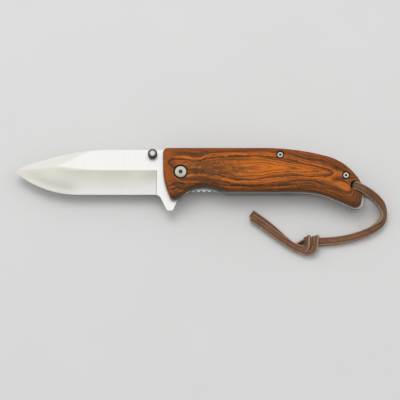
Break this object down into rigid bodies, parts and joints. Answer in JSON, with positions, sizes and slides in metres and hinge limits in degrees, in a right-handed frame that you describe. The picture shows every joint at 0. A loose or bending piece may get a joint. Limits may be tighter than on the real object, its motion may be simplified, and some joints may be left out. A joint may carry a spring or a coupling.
{
  "type": "folding pocket knife",
  "caption": "Folding pocket knife, open: drop-point blade with a flipper guard and thumb stud, wooden scales on steel liners, a liner lock and a knotted leather lace.",
  "frame": {"origin": "on the blade's pivot axis, in the plane of the back scale's flat outer face", "axes": "+X from the pivot to the butt, +Y to the spine, +Z from the back scale to the front scale"},
  "size_m": [0.2138, 0.06, 0.0172],
  "materials": {
    "wood": "polished",
    "blade_steel": "satin",
    "liner_steel": "satin",
    "screw_steel": "polished",
    "dark_stud": "satin",
    "washer_bronze": "plain",
    "leather": "plain"
  },
  "bodies": {
    "handle": {"scale_front": "wood", "scale_back": "wood", "liner_front": "liner_steel", "liner_back": "liner_steel", "stop_pin": "screw_steel", "pivot_barrel": "screw_steel", "pivot_screw": "screw_steel", "washer_back": "washer_bronze", "washer_front": "washer_bronze", "spine_standoff": "screw_steel", "butt_standoff": "screw_steel", "spine_screw_back": "screw_steel", "spine_screw_front": "screw_steel", "butt_screw_back": "screw_steel", "butt_screw_front": "screw_steel", "lace_upper_strand": "leather", "lace_lower_strand": "leather", "lace_knot": "leather", "lace_tail_top": "leather", "lace_tail_under": "leather"},
    "blade_assembly": {"blade": "blade_steel", "thumb_stud": "dark_stud", "thumb_stud_screw": "screw_steel"},
    "lock_spring": {"lock_leaf": "liner_steel"}
  },
  "joints": [
    {"name": "blade_pivot", "type": "hinge", "parent": "handle", "child": "blade_assembly", "pos_m": [0, 0, 0.0076], "axis": [0, 0, 1], "range_deg": [0, 174]},
    {"name": "lock_leaf_bend", "type": "hinge", "parent": "handle", "child": "lock_spring", "pos_m": [0.058, -0.0077, 0.0058], "axis": [0, -1, 0], "range_deg": [0, 1.21], "deforming": ["lock_leaf"]}
  ],
  "couplings": [
    {"joint": "lock_leaf_bend", "follows": "blade_pivot", "ratio": 0.0069646}
  ]
}
